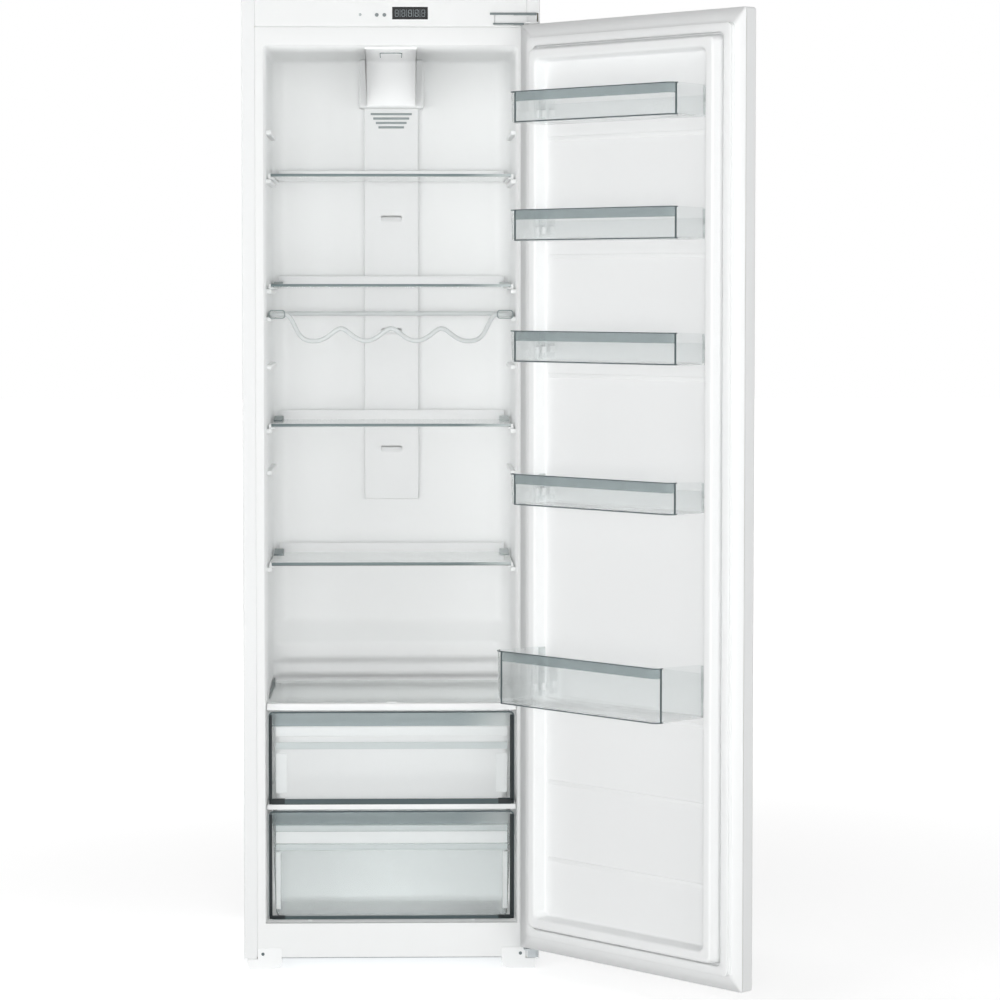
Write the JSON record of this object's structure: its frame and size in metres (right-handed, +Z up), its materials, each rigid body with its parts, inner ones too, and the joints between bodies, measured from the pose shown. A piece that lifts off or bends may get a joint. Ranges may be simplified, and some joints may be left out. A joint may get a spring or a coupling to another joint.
{
  "type": "column refrigerator",
  "caption": "Tall built-in larder refrigerator with an open hinged door, lift-out door balconies, sliding glass shelves, a bottle rack and clear crisper drawers.",
  "frame": {"origin": "middle of the base plate's underside, the face that the niche's floor carries through the feet", "axes": "+X to the right seen from the front (hinge side), +Y from the front into the cabinet, +Z up"},
  "size_m": [0.8872, 0.9639, 1.77],
  "materials": {
    "white_steel": "satin white paint on sheet steel",
    "zinc_steel": "zinc-plated steel",
    "black_steel": "black paint, semi-gloss",
    "white_plastic": "white moulded plastic, satin",
    "lamp_plastic": "translucent plastic",
    "clear_plastic": "clear moulded plastic",
    "smoked_plastic": "smoked translucent plastic",
    "dark_trim": "dark grey moulded plastic",
    "clear_glass": "clear toughened glass",
    "display_glass": "dark display window",
    "seal_rubber": "soft white seal",
    "foam": "rigid polyurethane foam",
    "copper": "copper tube",
    "board_green": "circuit board",
    "white_wire": "white coated steel wire"
  },
  "bodies": {
    "cabinet": {"cabinet_insulation": "foam", "inner_liner": "white_plastic", "side_panel_left": "white_steel", "side_panel_right": "white_steel", "top_panel": "white_steel", "rear_panel": "white_steel", "base_plate": "zinc_steel", "control_fascia": "white_plastic", "display_window": "display_glass", "control_board": "board_green", "duct_cover": "white_plastic", "lamp_cover": "lamp_plastic", "fan_motor": "zinc_steel", "evaporator_coil": "copper", "compressor": "black_steel", "compressor_rail": "zinc_steel", "terminal_box": "dark_trim", "condenser_plate": "black_steel", "condenser_coil": "black_steel", "drip_tray": "white_plastic", "hinge_bracket_top": "zinc_steel", "hinge_bracket_bottom": "zinc_steel", "front_foot_left": "white_plastic", "front_foot_right": "white_plastic", "rear_foot_left": "white_plastic", "rear_foot_right": "white_plastic", "crisper_cover_glass": "clear_glass", "crisper_cover_trim": "white_plastic", "drawer_divider": "white_plastic"},
    "fan": {"fan_rotor": "white_plastic"},
    "mode_button": {"button_mode": "white_plastic"},
    "set_button": {"button_set": "white_plastic"},
    "humidity_control": {"humidity_slider": "white_plastic"},
    "shelf_1": {"shelf_frame_1": "dark_trim", "shelf_glass_1": "clear_glass"},
    "shelf_2": {"shelf_frame_2": "dark_trim", "shelf_glass_2": "clear_glass"},
    "shelf_3": {"shelf_frame_3": "dark_trim", "shelf_glass_3": "clear_glass"},
    "shelf_4": {"shelf_frame_4": "dark_trim", "shelf_glass_4": "clear_glass"},
    "bottle_rack": {"wine_rack": "white_wire"},
    "upper_drawer_unit": {"upper_drawer": "clear_plastic", "upper_drawer_frame": "smoked_plastic"},
    "lower_drawer_unit": {"lower_drawer": "clear_plastic", "lower_drawer_frame": "smoked_plastic"},
    "door": {"door_skin": "white_steel", "door_insulation": "foam", "door_liner": "white_plastic", "door_gasket": "seal_rubber"},
    "door_balcony_1": {"balcony_1": "clear_plastic", "balcony_trim_1": "smoked_plastic"},
    "door_balcony_2": {"balcony_2": "clear_plastic", "balcony_trim_2": "smoked_plastic"},
    "door_balcony_3": {"balcony_3": "clear_plastic", "balcony_trim_3": "smoked_plastic"},
    "door_balcony_4": {"balcony_4": "clear_plastic", "balcony_trim_4": "smoked_plastic"},
    "door_balcony_5": {"balcony_5": "clear_plastic", "balcony_trim_5": "smoked_plastic"}
  },
  "joints": [
    {"name": "door_hinge", "type": "hinge", "parent": "cabinet", "child": "door", "pos_m": [0.256, -0.2655, 0.86], "axis": [0, 0, 1], "range_deg": [-132.3, 0]},
    {"name": "fan_spin", "type": "hinge", "parent": "cabinet", "child": "fan", "pos_m": [0, 0.1475, 1.61965], "axis": [0, 1, 0], "continuous": true},
    {"name": "mode_button_press", "type": "slide", "parent": "cabinet", "child": "mode_button", "axis": [0, 1, 0], "range_m": [0, 0.0008], "stiffness_N_per_m": 500},
    {"name": "set_button_press", "type": "slide", "parent": "cabinet", "child": "set_button", "axis": [0, 1, 0], "range_m": [0, 0.0008], "stiffness_N_per_m": 500},
    {"name": "humidity_slide", "type": "slide", "parent": "cabinet", "child": "humidity_control", "axis": [1, 0, 0], "range_m": [-0.016, 0.016]},
    {"name": "shelf_1_pull", "type": "slide", "parent": "cabinet", "child": "shelf_1", "axis": [0, -1, 0], "range_m": [0, 0.25]},
    {"name": "shelf_2_pull", "type": "slide", "parent": "cabinet", "child": "shelf_2", "axis": [0, -1, 0], "range_m": [0, 0.25]},
    {"name": "shelf_3_pull", "type": "slide", "parent": "cabinet", "child": "shelf_3", "axis": [0, -1, 0], "range_m": [0, 0.25]},
    {"name": "shelf_4_pull", "type": "slide", "parent": "cabinet", "child": "shelf_4", "axis": [0, -1, 0], "range_m": [0, 0.25]},
    {"name": "rack_pull", "type": "slide", "parent": "cabinet", "child": "bottle_rack", "axis": [0, -1, 0], "range_m": [0, 0.2]},
    {"name": "upper_drawer_pull", "type": "slide", "parent": "cabinet", "child": "upper_drawer_unit", "axis": [0, -1, 0], "range_m": [0, 0.25]},
    {"name": "lower_drawer_pull", "type": "slide", "parent": "cabinet", "child": "lower_drawer_unit", "axis": [0, -1, 0], "range_m": [0, 0.17]},
    {"name": "balcony_1_lift", "type": "slide", "parent": "door", "child": "door_balcony_1", "axis": [0, 0, 1], "range_m": [0, 0.04]},
    {"name": "balcony_2_lift", "type": "slide", "parent": "door", "child": "door_balcony_2", "axis": [0, 0, 1], "range_m": [0, 0.04]},
    {"name": "balcony_3_lift", "type": "slide", "parent": "door", "child": "door_balcony_3", "axis": [0, 0, 1], "range_m": [0, 0.04]},
    {"name": "balcony_4_lift", "type": "slide", "parent": "door", "child": "door_balcony_4", "axis": [0, 0, 1], "range_m": [0, 0.04]},
    {"name": "balcony_5_lift", "type": "slide", "parent": "door", "child": "door_balcony_5", "axis": [0, 0, 1], "range_m": [0, 0.04]}
  ]
}
